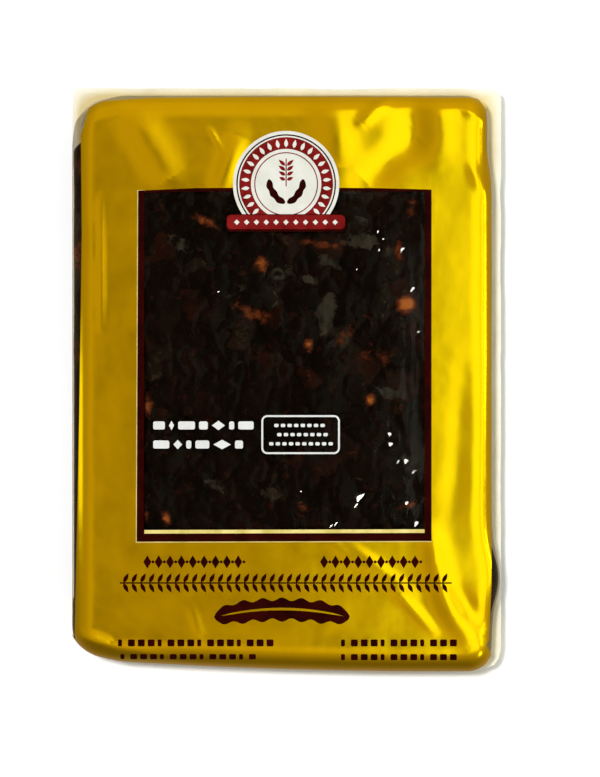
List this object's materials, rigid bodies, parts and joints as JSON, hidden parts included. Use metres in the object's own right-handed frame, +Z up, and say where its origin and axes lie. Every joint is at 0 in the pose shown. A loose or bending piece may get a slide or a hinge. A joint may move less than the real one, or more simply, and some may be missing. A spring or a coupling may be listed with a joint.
{
  "type": "packaged tamarind block",
  "caption": "Flat block of pressed dark tamarind pulp in a clear film pouch with a gold-printed front layer, a window over the pulp and flat heat-sealed edges.",
  "frame": {"origin": "middle of the footprint of the pack lying on its back, on the surface it lies on", "axes": "+Z up, out of the printed front; +Y along the pack towards its head end; +X towards the side with the sealed edge"},
  "size_m": [0.1174, 0.16, 0.0234],
  "materials": {
    "pulp": "moist, semi-gloss pressed fruit pulp",
    "film": "clear gloss film",
    "print": "metallic gold ink under gloss film"
  },
  "bodies": {
    "root": {"tamarind_block": "pulp", "front_film": "film", "back_film": "film", "gold_print": "print"}
  },
  "joints": []
}
